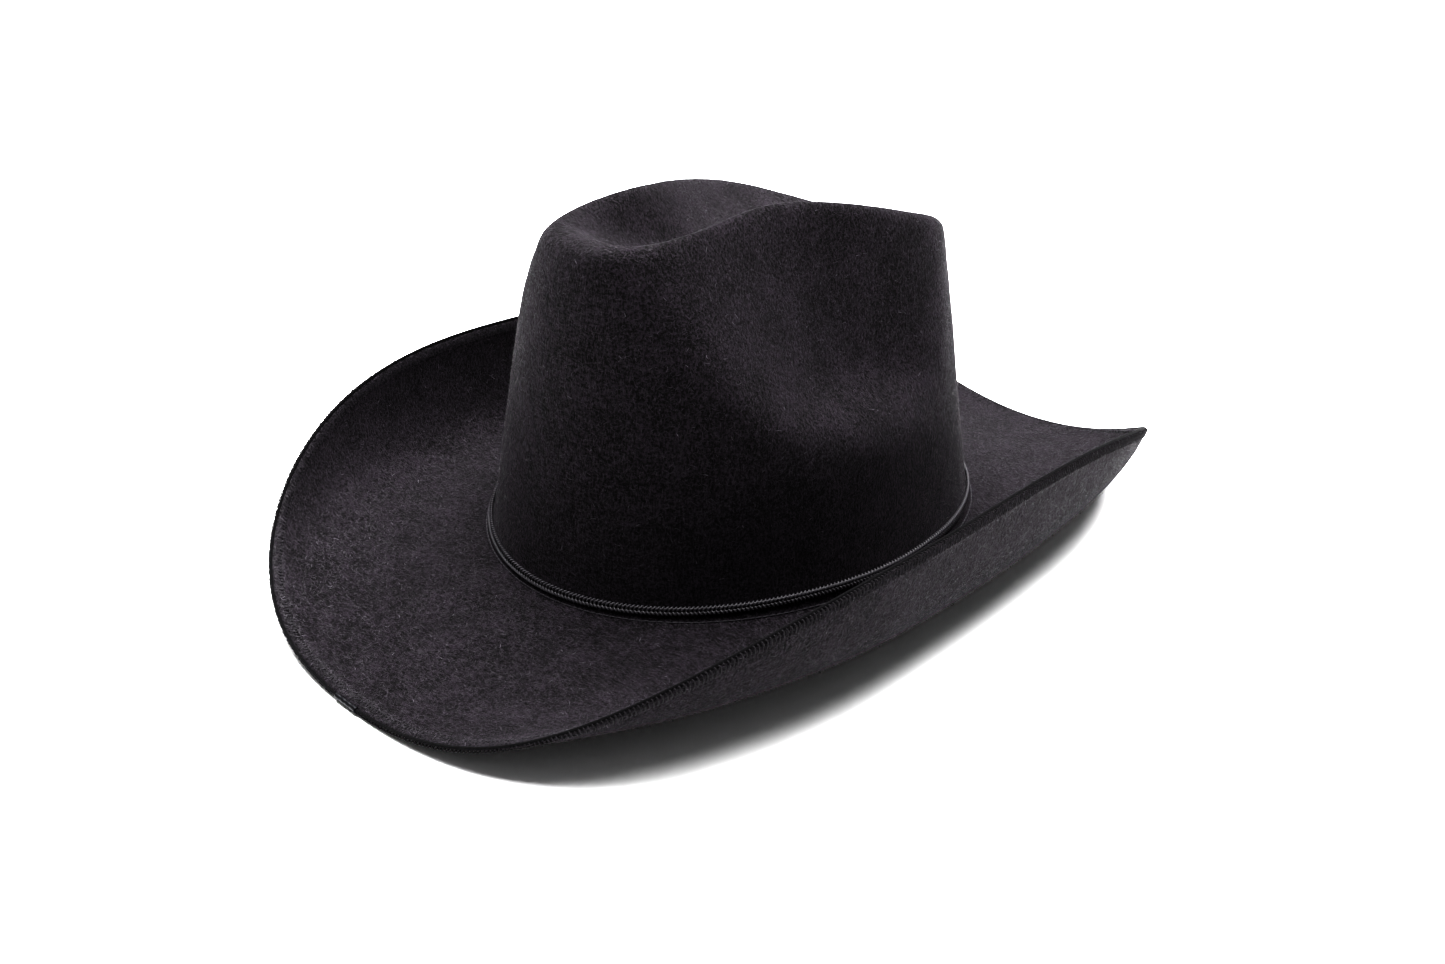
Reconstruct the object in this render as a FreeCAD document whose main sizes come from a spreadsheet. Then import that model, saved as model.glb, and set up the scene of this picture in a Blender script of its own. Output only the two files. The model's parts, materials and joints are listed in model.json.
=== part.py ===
"""A western hat: one-piece felt body with a pinched crown and a rolled brim, a wire in the brim's
edge, a two-rib braid round the crown and a sweatband inside.

Frame: millimetres, +Z up, standing on its brim. The front of the hat is -Y, its back +Y and the
wearer's right -X. The angle round the hat is 0 at the front, 90 at +X and 180 at the back.
"""
import FreeCAD, Part
import math
import os
from FreeCAD import Vector

doc = FreeCAD.newDocument("WesternHat")

# ---- driving dimensions --------------------------------------------------------------------------
SIZES = [
    ("felt_thickness", 2.6, "the felt, everywhere"),
    ("base_length", 204.0, "outside of the crown where it meets the brim, front to back"),
    ("base_width", 172.0, "the same, side to side"),
    ("break_height", 18.0, "mean height of the line where crown and brim meet"),
    ("break_rise_front", 1.5, "how much higher that line is at the front than the mean"),
    ("break_rise_side", 1.9, "how much higher it is at the sides than the mean"),
    ("brim_length", 368.0, "edge of the brim, front to back"),
    ("brim_width", 250.0, "edge of the rolled brim, side to side"),
    ("crown_shift", 2.5, "middle of the crown, behind the middle of the brim"),
    ("brim_taper", 0.14, "share by which the outline is narrower in front and wider behind"),
    ("brim_waist", 0.037, "share by which the outline is drawn in at the sides"),
    ("brim_square_front", 3.1, "power of the front half of the outline, 2 is an ellipse"),
    ("brim_square_back", 2.35, "power of the back half"),
    ("edge_height", 32.4, "mean height of the brim's edge"),
    ("edge_roll", 30.15, "rise of the edge at the sides, and its fall at front and back"),
    ("edge_flare", 2.1, "how much later the roll starts, a wave four to the turn"),
    ("edge_ripple", 2.2, "a wave six to the turn"),
    ("roll_depth_side", 4.8, "height that the brim heads for before it rolls up, at the sides"),
    ("roll_depth_end", 3.6, "the same at front and back"),
    ("roll_reach_side", 0.985, "share of the brim's reach where it turns up, at the sides"),
    ("roll_reach_end", 0.73, "the same at front and back"),
    ("rim_length", 172.6, "ridge line of the crown's top, front to back, before the dents"),
    ("rim_width", 128.0, "the same, side to side"),
    ("rim_taper", 0.05, "share by which the ridge line is narrower in front"),
    ("rim_height", 137.1, "mean height of the ridge line"),
    ("rim_slope", 12.3, "how far the ridge line is lower in front and higher behind"),
    ("rim_dip", 7.5, "how far it is lower at front and back than at the sides"),
    ("rim_lean", 5.0, "how far its right side is higher than its left"),
    ("rim_twist", 1.5, "how far its right front and left back are higher"),
    ("bowl_height", 121.6, "height of the bottom of the crease in the crown's top"),
    ("dent_depth", 15.0, "side dents, just above their lower end"),
    ("dent_gain", 1.95, "depth of the dents at the ridge line against dent_depth"),
    ("dent_angle", 92.0, "where the lower end of a dent is, degrees from the front"),
    ("dent_lean", 18.0, "how far back the dent has moved at the ridge line, degrees"),
    ("dent_spread", 55.6, "half the dent's width at the ridge line, degrees"),
    ("dent_foot", 20.0, "half the dent's width at its lower end, degrees"),
    ("dent_start", 0.45, "share of the crown's height where the dent starts"),
    ("wire_diameter", 1.2, "spring steel wire in the edge of the brim"),
    ("ferrule_wall", 0.3, "crimped tube over the joint of the wire"),
    ("ferrule_bore_gap", 0.03, "between the wire and the bore where the bent wire comes nearest"),
    ("ferrule_length", 12.0, "length of the tube"),
    ("piece_gap", 0.15, "between hard pieces and the felt"),
    ("soft_gap", 0.3, "between soft pieces and the felt"),
    ("thread_diameter", 0.5, "sewing thread"),
    ("edge_seam_inset", 1.6, "from the felt's edge to the row of stitches on top"),
    ("braid_width", 3.3, "two-rib braid, across both ribs"),
    ("braid_thickness", 1.5, "the braid, over a rib"),
    ("braid_rise_front", 5.2, "middle of the braid above the break, from the front round the sides"),
    ("braid_rise_back", 3.2, "the same at the back"),
    ("sweatband_width", 28.0, "woven band inside the crown, top to bottom"),
    ("sweatband_thickness", 1.1, "its thickness"),
    ("sweatband_start", 2.0, "from the break up to its lower edge"),
    ("seam_inset", 1.2, "from the corner of the break out to the row of stitches"),
    ("label_width", 32.0, "size label at the back of the sweatband, along the band"),
    ("label_height", 16.0, "the label, up the band"),
    ("label_thickness", 0.35, "the label's cloth"),
    ("label_start", 6.0, "from the sweatband's lower edge up to the label"),
]
sheet = doc.addObject("Spreadsheet::Sheet", "Sizes")
for line, (alias, value, meaning) in enumerate(SIZES, start=1):
    sheet.set("A%d" % line, alias)
    sheet.set("B%d" % line, str(value))
    sheet.set("C%d" % line, meaning)
    sheet.setAlias("B%d" % line, alias)
doc.recompute()


def size(alias):
    return float(sheet.get(alias))


COLUMNS = 72                                    # control points round the hat
ANGLES = [2.0 * math.pi * j / COLUMNS for j in range(COLUMNS)]


def smooth_step(start, end, value):
    share = min(max((value - start) / (end - start), 0.0), 1.0)
    return share * share * (3.0 - 2.0 * share)


def outline(angle, length, width, power):
    """A point of an oval with squared-off or pointed corners."""
    s, c = math.sin(angle), math.cos(angle)
    reach = (abs(s) ** power + abs(c) ** power) ** (-1.0 / power)
    return 0.5 * width * s * reach, -0.5 * length * c * reach


def break_point(angle):
    """Where the crown's outside meets the top of the brim."""
    x, y = outline(angle, size("base_length"), size("base_width"), 2.0)
    y += size("crown_shift")
    z = (size("break_height") + size("break_rise_front") * math.cos(angle)
         - size("break_rise_side") * math.cos(2 * angle))
    return Vector(x, y, z)


def edge_point(angle):
    """The top of the felt at the brim's edge."""
    c = math.cos(angle)
    power = size("brim_square_front") if c > 0 else size("brim_square_back")
    x, y = outline(angle, size("brim_length"), size("brim_width"), power)
    x *= 1.0 - size("brim_taper") * c + size("brim_waist") * math.cos(2 * angle)
    z = (size("edge_height") - size("edge_roll") * math.cos(2 * angle)
         - size("edge_flare") * math.cos(4 * angle) + size("edge_ripple") * math.cos(6 * angle))
    return Vector(x, y, z)


def rim_point(angle):
    """The ridge line of the crown's top, before the dents push it in."""
    c = math.cos(angle)
    x, y = outline(angle, size("rim_length"), size("rim_width"), 2.0)
    z = (size("rim_height") - size("rim_slope") * c - size("rim_dip") * math.cos(2 * angle)
         - size("rim_lean") * math.sin(angle) - size("rim_twist") * math.sin(2 * angle))
    return Vector(x * (1.0 - size("rim_taper") * c), y + size("crown_shift"), z)


def dent(angle, share):
    """How far the side dents push the crown in at this share of its height."""
    turn = math.degrees(abs((angle + math.pi) % (2 * math.pi) - math.pi))
    start = size("dent_start")
    up = max((share - start) / (1.0 - start), 0.0)
    half = size("dent_foot") + (size("dent_spread") - size("dent_foot")) * up ** 0.8
    off = (turn - size("dent_angle") - size("dent_lean") * up) / half
    across = max(1.0 - off * off, 0.0) ** (1.0 + 0.5 * up)
    depth = size("dent_depth") * (1.0 + (size("dent_gain") - 1.0) * up)
    return depth * across * smooth_step(start - 0.02, start + 0.11, share)


def inward(angle, amount):
    normal = Vector(math.sin(angle) / size("rim_width"), -math.cos(angle) / size("rim_length"), 0)
    return normal.normalize() * -amount


def brim_point(angle, share):
    """The top of the brim: a curve that leaves the break downwards and rolls up to the edge."""
    start, end = break_point(angle), edge_point(angle)
    side = math.sin(angle) ** 2
    reach = size("roll_reach_end") + (size("roll_reach_side") - size("roll_reach_end")) * side
    turn = start + (end - start) * reach
    turn.z = size("roll_depth_end") + (size("roll_depth_side") - size("roll_depth_end")) * side
    rest = 1.0 - share
    return start * rest ** 2 + turn * (2 * share * rest) + end * share ** 2


TOP_STEPS = ((0.20, 0.0), (0.42, 0.05), (0.62, 0.32), (0.80, 0.82))
WALL_STEPS = (0.95, 0.87, 0.78, 0.69, 0.61, 0.54, 0.48, 0.42, 0.34, 0.25, 0.16, 0.07)
BRIM_STEPS = (0.05, 0.12, 0.22, 0.34, 0.46, 0.58, 0.69, 0.79, 0.88, 0.95, 1.0)
RIM_ROW = len(TOP_STEPS) + 2
BREAK_ROW = RIM_ROW + len(WALL_STEPS) + 1


def felt_column(angle):
    """Control points of the felt's outer face, from the middle of the crown to the brim's edge."""
    middle = Vector(0, size("crown_shift"), size("bowl_height"))
    rim, foot = rim_point(angle), break_point(angle)
    ridge = rim + inward(angle, dent(angle, 1.0))
    column = [Vector(middle)]
    for reach, climb in TOP_STEPS:
        point = middle + (ridge - middle) * reach
        point.z = middle.z + (rim.z - middle.z) * climb
        column.append(point)
    shoulder = middle + (ridge - middle) * 0.92
    column.append(Vector(shoulder.x, shoulder.y, rim.z + 1.4))
    column.append(Vector(ridge.x, ridge.y, rim.z - 1.8))
    for share in WALL_STEPS:
        column.append(foot + (rim - foot) * share + inward(angle, dent(angle, share)))
    column.append(foot)
    column.extend(brim_point(angle, share) for share in BRIM_STEPS)
    return column


def grid_normals(columns):
    """Outward normals of a grid of control points that closes round the hat."""
    normals = []
    for j, column in enumerate(columns):
        before, after = columns[j - 1], columns[(j + 1) % len(columns)]
        line = [Vector(0, 0, 1)]
        for i in range(1, len(column)):
            along = column[min(i + 1, len(column) - 1)] - column[i - 1]
            line.append((along.cross(after[i] - before[i])).normalize())
        normals.append(line)
    return normals


def surface_face(rows, closed=False):
    """A smooth face from rows of control points, each row a ring round the hat."""
    count, around = len(rows), len(rows[0])
    if closed:
        u_knots, u_mults = list(range(count + 1)), [1] * (count + 1)
    else:
        u_knots = list(range(count - 2))
        u_mults = [4] + [1] * (count - 4) + [4]
    surface = Part.BSplineSurface()
    surface.buildFromPolesMultsKnots(rows, u_mults, [1] * (around + 1), u_knots,
                                     list(range(around + 1)), closed, True, 3, 3)
    return surface.toShape()


def ring_solid(sections, closed=True):
    """A solid from a section at each angle round the hat."""
    rows = [list(row) for row in zip(*sections)]
    solid = Part.Solid(Part.Shell([surface_face(rows, closed)]))
    if solid.Volume < 0:
        solid.reverse()
    return solid


def strip_solid(sections):
    """A solid from a section of straight sides at each angle: every side is a strip of its own."""
    rows = [list(row) for row in zip(*sections)]
    around = len(sections)
    strips = []
    for row, following in zip(rows, rows[1:] + rows[:1]):
        surface = Part.BSplineSurface()
        surface.buildFromPolesMultsKnots([row, following], [2, 2], [1] * (around + 1), [0, 1],
                                         list(range(around + 1)), False, True, 1, 3)
        strips.append(surface.toShape())
    shell = Part.Shell(strips)
    shell.sewShape()
    solid = Part.Solid(Part.Shell(shell.Faces))
    if solid.Volume < 0:
        solid.reverse()
    return solid


def column_point(column, place):
    """A point of the smooth curve of one column; a whole place number is opposite that row."""
    knot = min(max(place - 1.0, 0.0), len(column) - 3.0)
    last = len(column) - 4
    span = min(int(knot), last)
    knots = [0] * 4 + list(range(1, last + 1)) + [last + 1] * 4
    points = [Vector(column[span + k]) for k in range(4)]
    for level in range(1, 4):
        for k in range(3, level - 1, -1):
            low, high = knots[span + k], knots[span + k + 4 - level]
            share = (knot - low) / (high - low)
            points[k] = points[k - 1] * (1.0 - share) + points[k] * share
    return points[3]


OUTER = [felt_column(angle) for angle in ANGLES]
NORMALS = grid_normals(OUTER)


def felt_frame(j, place):
    """Point on the felt's outer face, direction away from the crown's middle, and normal."""
    point = column_point(OUTER[j], place)
    along = (column_point(OUTER[j], place + 0.05) - column_point(OUTER[j], place - 0.05)).normalize()
    after = column_point(OUTER[(j + 1) % COLUMNS], place)
    before = column_point(OUTER[j - 1], place)
    return point, along, along.cross(after - before).normalize()


def place_at_height(j, height):
    """The place on the crown's wall that is this far above the break."""
    low, high = RIM_ROW + 2.0, float(BREAK_ROW)
    goal = OUTER[j][BREAK_ROW].z + height
    for _ in range(40):
        middle = 0.5 * (low + high)
        if column_point(OUTER[j], middle).z > goal:
            low = middle
        else:
            high = middle
    return low


def place_from_edge(j, distance):
    """The place on top of the brim that is this far in from the felt's edge."""
    place = float(len(OUTER[j]) - 2)
    point, gone = column_point(OUTER[j], place), 0.0
    while gone < distance:
        place -= 0.01
        step = column_point(OUTER[j], place)
        gone += (step - point).Length
        point = step
    return place


def round_section(centre, first, second, radius):
    """Control points of a round section: ten of them pull the curve in by a known share."""
    turn = math.pi / 5
    reach = radius * 3.0 / (2.0 + math.cos(turn))
    return [centre + first * (reach * math.cos(k * turn)) + second * (reach * math.sin(k * turn))
            for k in range(10)]


def feature(label, shape):
    part = doc.addObject("Part::Feature", label)
    part.Label = label
    part.Shape = shape
    part.Placement = FreeCAD.Placement()
    return part


# ---- felt body: crown and brim are one blocked piece ---------------------------------------------
thickness = size("felt_thickness")


def felt_section(j):
    top = OUTER[j]
    under = [p - n * thickness for p, n in zip(top, NORMALS[j])]
    out = (top[-1] - top[-2]).normalize()
    lip = (top[-1] + under[-1]) * 0.5 + out * (0.35 * thickness)
    return top + [lip] + under[::-1]


felt = feature("felt_body", ring_solid([felt_section(j) for j in range(COLUMNS)], closed=False))

# ---- wire hoop along the felt's edge, and the tube crimped over its joint at the back --------------
wire_radius = 0.5 * size("wire_diameter")
BACK = COLUMNS // 2


def edge_bow(length):
    """How far the brim's edge bows away from a straight line of this length at the back."""
    before, middle, after = (OUTER[BACK + k][-1] for k in (-1, 0, 1))
    chord = after - before
    depth = (middle - (before + after) * 0.5).Length
    return depth * (length / chord.Length) ** 2


# the tube is straight and the wire in it is bent, so its bore is wider by the bow
bore_radius = wire_radius + size("ferrule_bore_gap") + edge_bow(size("ferrule_length"))
sheet.set("A%d" % (len(SIZES) + 1), "ferrule_bore_radius")
sheet.set("B%d" % (len(SIZES) + 1), str(bore_radius))
sheet.setAlias("B%d" % (len(SIZES) + 1), "ferrule_bore_radius")
doc.recompute()
ferrule_radius = bore_radius + size("ferrule_wall")


def wire_centre(j):
    top, normal = OUTER[j][-1], NORMALS[j][-1]
    out = (top - OUTER[j][-2]).normalize()
    return (top - normal * (0.5 * thickness)
            + out * (0.35 * thickness + ferrule_radius + size("piece_gap"))), out, normal


wire = feature("brim_wire", ring_solid([
    round_section(centre, out, normal, wire_radius)
    for centre, out, normal in map(wire_centre, range(COLUMNS))]))

ferrule_outside = doc.addObject("Part::Cylinder", "FerruleOutside")
ferrule_outside.setExpression("Radius", "Sizes.ferrule_bore_radius + Sizes.ferrule_wall")
ferrule_outside.setExpression("Height", "Sizes.ferrule_length")
ferrule_bore = doc.addObject("Part::Cylinder", "FerruleBore")
ferrule_bore.setExpression("Radius", "Sizes.ferrule_bore_radius")
ferrule_bore.setExpression("Height", "Sizes.ferrule_length + 2")
ferrule_bore.setExpression("Placement.Base.z", "-1")
ferrule = doc.addObject("Part::Cut", "wire_ferrule")
ferrule.Label = "wire_ferrule"
ferrule.Base, ferrule.Tool = ferrule_outside, ferrule_bore
seat = (wire_centre(BACK - 1)[0] + wire_centre(BACK)[0] * 4 + wire_centre(BACK + 1)[0]) * (1 / 6.0)
ferrule.Placement = FreeCAD.Placement(seat - Vector(0.5 * size("ferrule_length"), 0, 0),
                                      FreeCAD.Rotation(Vector(0, 1, 0), 90))

# ---- row of stitches on top of the brim, just inside the edge ---------------------------------------
thread_radius = 0.5 * size("thread_diameter")


def thread_ring(label, place_of):
    """A row of stitches as one ring of thread with twelve flat sides."""
    sections = []
    for j in range(COLUMNS):
        point, along, normal = felt_frame(j, place_of(j))
        centre = point + normal * (thread_radius + size("piece_gap"))
        sections.append([centre + along * (thread_radius * math.cos(k * math.pi / 6))
                         + normal * (thread_radius * math.sin(k * math.pi / 6)) for k in range(12)])
    return feature(label, strip_solid(sections))


thread_ring("brim_edge_thread", lambda j: place_from_edge(j, size("edge_seam_inset")))

# ---- row of stitches at the break that holds the sweatband -------------------------------------------
thread_ring("sweatband_thread", lambda j: BREAK_ROW + size("seam_inset") / (
    (OUTER[j][BREAK_ROW + 1] - OUTER[j][BREAK_ROW]).Length))


# ---- braid round the crown: two ribs with a groove between them --------------------------------------
def braid_section(j):
    back = 0.5 - 0.5 * math.cos(ANGLES[j])
    rise = size("braid_rise_front") + (size("braid_rise_back") - size("braid_rise_front")) * back ** 4
    point, down, normal = felt_frame(j, place_at_height(j, rise))
    half, deep = 0.5 * size("braid_width"), size("braid_thickness")
    profile = ((-1.0, 0.0), (-1.15, 0.6), (-0.75, 1.22), (-0.3, 1.1), (0.0, 0.25),
               (0.3, 1.1), (0.75, 1.22), (1.15, 0.6), (1.0, 0.0), (0.5, -0.1), (0.0, -0.1), (-0.5, -0.1))
    lift = size("soft_gap") + 0.15 * deep
    return [point + down * (half * a) + normal * (lift + deep * b) for a, b in profile]


feature("hat_band", ring_solid([braid_section(j) for j in range(COLUMNS)]))


# ---- sweatband and its size label ----------------------------------------------------------------------
def wall_frame(j):
    """Foot of the crown's wall, the way up it and its outward normal."""
    angle = ANGLES[j]
    foot, step = break_point(angle), 0.01
    up = (rim_point(angle) - foot).normalize()
    around = break_point(angle + step) - break_point(angle - step)
    return foot, up, around.cross(up).normalize()


def strip_section(j, low, high, outside, deep):
    """A thin strip on the inside of the wall, between two heights, with its corners eased."""
    foot, up, normal = wall_frame(j)
    ease = 0.3 * deep
    profile = [(low + ease, 0), (low + ease, 0)]
    profile += [(low + (high - low) * share, 0) for share in (0.2, 0.5, 0.8)]
    profile += [(high - ease, 0), (high - ease, 0), (high, ease), (high, deep - ease),
                (high - ease, deep), (high - ease, deep)]
    profile += [(low + (high - low) * share, deep) for share in (0.8, 0.5, 0.2)]
    profile += [(low + ease, deep), (low + ease, deep), (low, deep - ease), (low, ease)]
    return [foot + up * a - normal * (outside + b) for a, b in profile]


band_outside = thickness + size("soft_gap")
band_low = size("sweatband_start")
feature("sweatband", ring_solid([
    strip_section(j, band_low, band_low + size("sweatband_width"), band_outside,
                  size("sweatband_thickness")) for j in range(COLUMNS)]))


def label_solid():
    """A cloth patch that follows the band: cut from a thin ring by a box as wide as the label."""
    low = band_low + size("label_start")
    ring = ring_solid([
        strip_section(j, low, low + size("label_height"),
                      band_outside + size("sweatband_thickness") + size("piece_gap"),
                      size("label_thickness")) for j in range(COLUMNS)])
    width = size("label_width")
    return ring.common(Part.makeBox(width, size("base_length"), size("rim_height"),
                                    Vector(-0.5 * width, 0, 0)))


feature("size_label", label_solid())

# ---- check and write ---------------------------------------------------------------------------------------
doc.recompute()
SUBPARTS = ["felt_body", "brim_wire", "wire_ferrule", "brim_edge_thread", "hat_band", "sweatband",
            "sweatband_thread", "size_label"]
for item in doc.Objects:
    if "Invalid" in item.State or "Error" in item.State:
        raise RuntimeError("%s did not compute" % item.Name)
os.makedirs("parts", exist_ok=True)
for name in SUBPARTS:
    shape = doc.getObjectsByLabel(name)[0].Shape
    if shape.isNull() or not shape.isValid() or len(shape.Solids) != 1:
        raise RuntimeError("%s is not one valid solid" % name)
    box = shape.BoundBox
    print("%-18s %9.1f mm3  x %.1f..%.1f  y %.1f..%.1f  z %.1f..%.1f" % (
        name, shape.Volume, box.XMin, box.XMax, box.YMin, box.YMax, box.ZMin, box.ZMax))
for name in SUBPARTS:
    doc.getObjectsByLabel(name)[0].Shape.exportStep("parts/%s.step" % name)
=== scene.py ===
"""A black felt western hat: blocked felt body, wired and overlocked brim edge, soutache band and
sweatband. Laid out as an add-on: each operator makes one piece or one group of like pieces."""
import json
import math

import bmesh
import bpy
import numpy as np
from bpy.props import FloatProperty, FloatVectorProperty, IntProperty, PointerProperty
from bpy.types import Operator, Panel, PropertyGroup
from mathutils import Matrix, Vector, noise

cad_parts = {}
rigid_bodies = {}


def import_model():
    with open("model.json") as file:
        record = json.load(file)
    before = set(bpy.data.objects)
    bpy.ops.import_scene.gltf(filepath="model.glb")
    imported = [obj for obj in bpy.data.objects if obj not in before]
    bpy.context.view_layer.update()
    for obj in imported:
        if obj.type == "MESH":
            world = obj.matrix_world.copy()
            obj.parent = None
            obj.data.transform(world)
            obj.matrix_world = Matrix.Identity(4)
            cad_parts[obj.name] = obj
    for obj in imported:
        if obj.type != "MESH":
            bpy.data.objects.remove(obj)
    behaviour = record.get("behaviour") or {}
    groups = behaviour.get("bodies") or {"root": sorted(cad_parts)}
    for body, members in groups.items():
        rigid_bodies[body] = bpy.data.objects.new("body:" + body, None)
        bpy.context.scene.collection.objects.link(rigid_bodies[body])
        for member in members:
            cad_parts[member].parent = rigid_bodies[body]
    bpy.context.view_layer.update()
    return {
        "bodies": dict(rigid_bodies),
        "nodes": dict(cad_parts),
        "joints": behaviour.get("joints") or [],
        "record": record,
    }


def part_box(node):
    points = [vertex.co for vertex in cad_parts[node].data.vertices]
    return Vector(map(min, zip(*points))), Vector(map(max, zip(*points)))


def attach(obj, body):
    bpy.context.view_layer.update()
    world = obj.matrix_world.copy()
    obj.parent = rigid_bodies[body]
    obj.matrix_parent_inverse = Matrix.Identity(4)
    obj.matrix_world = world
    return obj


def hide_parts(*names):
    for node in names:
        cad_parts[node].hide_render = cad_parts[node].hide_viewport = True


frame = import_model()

bl_info = {
    "name": "Western hat",
    "version": (1, 0, 0),
    "blender": (4, 5, 0),
    "location": "3D View > Sidebar > Hat",
    "description": "Builds a felt western hat round its solid parts",
    "category": "Mesh",
}

BODY = "root"
MM = 0.001
TURN = 2.0 * math.pi

# ---- the hat's real sizes in millimetres ---------------------------------------------------------
FELT = 2.6                                      # thickness of the felt
CROWN_SHIFT = 2.5                               # middle of the crown behind the middle of the brim
BASE_LENGTH, BASE_WIDTH = 204.0, 172.0          # crown where it meets the brim
BREAK_HEIGHT, BREAK_RISE_FRONT, BREAK_RISE_SIDE = 18.0, 1.5, 1.9
BRIM_LENGTH, BRIM_WIDTH = 368.0, 250.0
BRIM_TAPER, BRIM_WAIST = 0.14, 0.037            # narrower in front, drawn in at the sides
BRIM_POWER_FRONT, BRIM_POWER_BACK = 3.1, 2.35   # 2 is an ellipse
EDGE_HEIGHT, EDGE_ROLL, EDGE_FLARE, EDGE_RIPPLE = 32.4, 30.15, 2.1, 2.2
ROLL_DEPTH_SIDE, ROLL_DEPTH_END = 4.8, 3.6
ROLL_REACH_SIDE, ROLL_REACH_END = 0.985, 0.73
RIM_LENGTH, RIM_WIDTH, RIM_TAPER = 172.6, 128.0, 0.05
RIM_HEIGHT, RIM_SLOPE, RIM_DIP, RIM_LEAN, RIM_TWIST = 137.1, 12.3, 7.5, 5.0, 1.5
BOWL_HEIGHT = 121.6
DENT_DEPTH, DENT_GAIN, DENT_START = 15.0, 1.95, 0.45
DENT_ANGLE, DENT_LEAN, DENT_SPREAD, DENT_FOOT = 92.0, 18.0, 55.6, 20.0
EDGE_SEAM_INSET = 1.6
EDGE_FRAY = 1.5                                 # loose felt drawn out round the wire by the overlock
BRAID_WIDTH = 3.3
BRAID_RISE_FRONT, BRAID_RISE_BACK = 5.2, 3.2
SWEATBAND_WIDTH, SWEATBAND_THICKNESS, SWEATBAND_START = 28.0, 1.1, 2.0
SOFT_GAP = 0.3
LABEL_WIDTH, LABEL_HEIGHT, LABEL_THICKNESS, LABEL_START = 32.0, 16.0, 0.35, 6.0
TUBE_BORE, TUBE_WALL, TUBE_CRIMP = 0.72, 0.3, 0.14
FLOOR_DROP = 0.00125                            # metres: fibres reach 1.15 to 1.26 mm down

COLUMNS = 72                                    # control points round the hat
TOP_STEPS = ((0.20, 0.0), (0.42, 0.05), (0.62, 0.32), (0.80, 0.82))
WALL_STEPS = (0.95, 0.87, 0.78, 0.69, 0.61, 0.54, 0.48, 0.42, 0.34, 0.25, 0.16, 0.07)
BRIM_STEPS = (0.05, 0.12, 0.22, 0.34, 0.46, 0.58, 0.69, 0.79, 0.88, 0.95, 1.0)
RIM_ROW = len(TOP_STEPS) + 2
BREAK_ROW = RIM_ROW + len(WALL_STEPS) + 1
EDGE_ROW = BREAK_ROW + len(BRIM_STEPS)
LIP_ROW = EDGE_ROW + 1
LAST_ROW = 2 * LIP_ROW


# ---- shape of the felt ---------------------------------------------------------------------------
def smooth_step(start, end, value):
    share = min(max((value - start) / (end - start), 0.0), 1.0)
    return share * share * (3.0 - 2.0 * share)


def outline(angle, length, width, power):
    s, c = math.sin(angle), math.cos(angle)
    reach = (abs(s) ** power + abs(c) ** power) ** (-1.0 / power)
    return 0.5 * width * s * reach, -0.5 * length * c * reach


def break_point(angle):
    x, y = outline(angle, BASE_LENGTH, BASE_WIDTH, 2.0)
    z = BREAK_HEIGHT + BREAK_RISE_FRONT * math.cos(angle) - BREAK_RISE_SIDE * math.cos(2 * angle)
    return Vector((x, y + CROWN_SHIFT, z))


def edge_point(angle):
    c = math.cos(angle)
    x, y = outline(angle, BRIM_LENGTH, BRIM_WIDTH, BRIM_POWER_FRONT if c > 0 else BRIM_POWER_BACK)
    x *= 1.0 - BRIM_TAPER * c + BRIM_WAIST * math.cos(2 * angle)
    z = (EDGE_HEIGHT - EDGE_ROLL * math.cos(2 * angle) - EDGE_FLARE * math.cos(4 * angle)
         + EDGE_RIPPLE * math.cos(6 * angle))
    return Vector((x, y, z))


def rim_point(angle):
    c = math.cos(angle)
    x, y = outline(angle, RIM_LENGTH, RIM_WIDTH, 2.0)
    z = (RIM_HEIGHT - RIM_SLOPE * c - RIM_DIP * math.cos(2 * angle)
         - RIM_LEAN * math.sin(angle) - RIM_TWIST * math.sin(2 * angle))
    return Vector((x * (1.0 - RIM_TAPER * c), y + CROWN_SHIFT, z))


def dent(angle, share):
    """How far the side dents push the crown in at this share of its height."""
    turn = math.degrees(abs((angle + math.pi) % TURN - math.pi))
    up = max((share - DENT_START) / (1.0 - DENT_START), 0.0)
    half = DENT_FOOT + (DENT_SPREAD - DENT_FOOT) * up ** 0.8
    off = (turn - DENT_ANGLE - DENT_LEAN * up) / half
    across = max(1.0 - off * off, 0.0) ** (1.0 + 0.5 * up)
    depth = DENT_DEPTH * (1.0 + (DENT_GAIN - 1.0) * up)
    return depth * across * smooth_step(DENT_START - 0.02, DENT_START + 0.11, share)


def inward(angle, amount):
    outwards = Vector((math.sin(angle) / RIM_WIDTH, -math.cos(angle) / RIM_LENGTH, 0)).normalized()
    return outwards * -amount


def brim_point(angle, share):
    start, end = break_point(angle), edge_point(angle)
    side = math.sin(angle) ** 2
    turn = start.lerp(end, ROLL_REACH_END + (ROLL_REACH_SIDE - ROLL_REACH_END) * side)
    turn.z = ROLL_DEPTH_END + (ROLL_DEPTH_SIDE - ROLL_DEPTH_END) * side
    return start.lerp(turn, share).lerp(turn.lerp(end, share), share)


def felt_column(angle):
    """Control points of the outer face, from the middle of the crown's top to the brim's edge."""
    middle = Vector((0, CROWN_SHIFT, BOWL_HEIGHT))
    rim, foot = rim_point(angle), break_point(angle)
    ridge = rim + inward(angle, dent(angle, 1.0))
    column = [middle.copy()]
    for reach, climb in TOP_STEPS:
        point = middle.lerp(ridge, reach)
        point.z = middle.z + (rim.z - middle.z) * climb
        column.append(point)
    shoulder = middle.lerp(ridge, 0.92)
    column.append(Vector((shoulder.x, shoulder.y, rim.z + 1.4)))
    column.append(Vector((ridge.x, ridge.y, rim.z - 1.8)))
    column += [foot.lerp(rim, share) + inward(angle, dent(angle, share)) for share in WALL_STEPS]
    column.append(foot)
    column += [brim_point(angle, share) for share in BRIM_STEPS]
    return column


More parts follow.
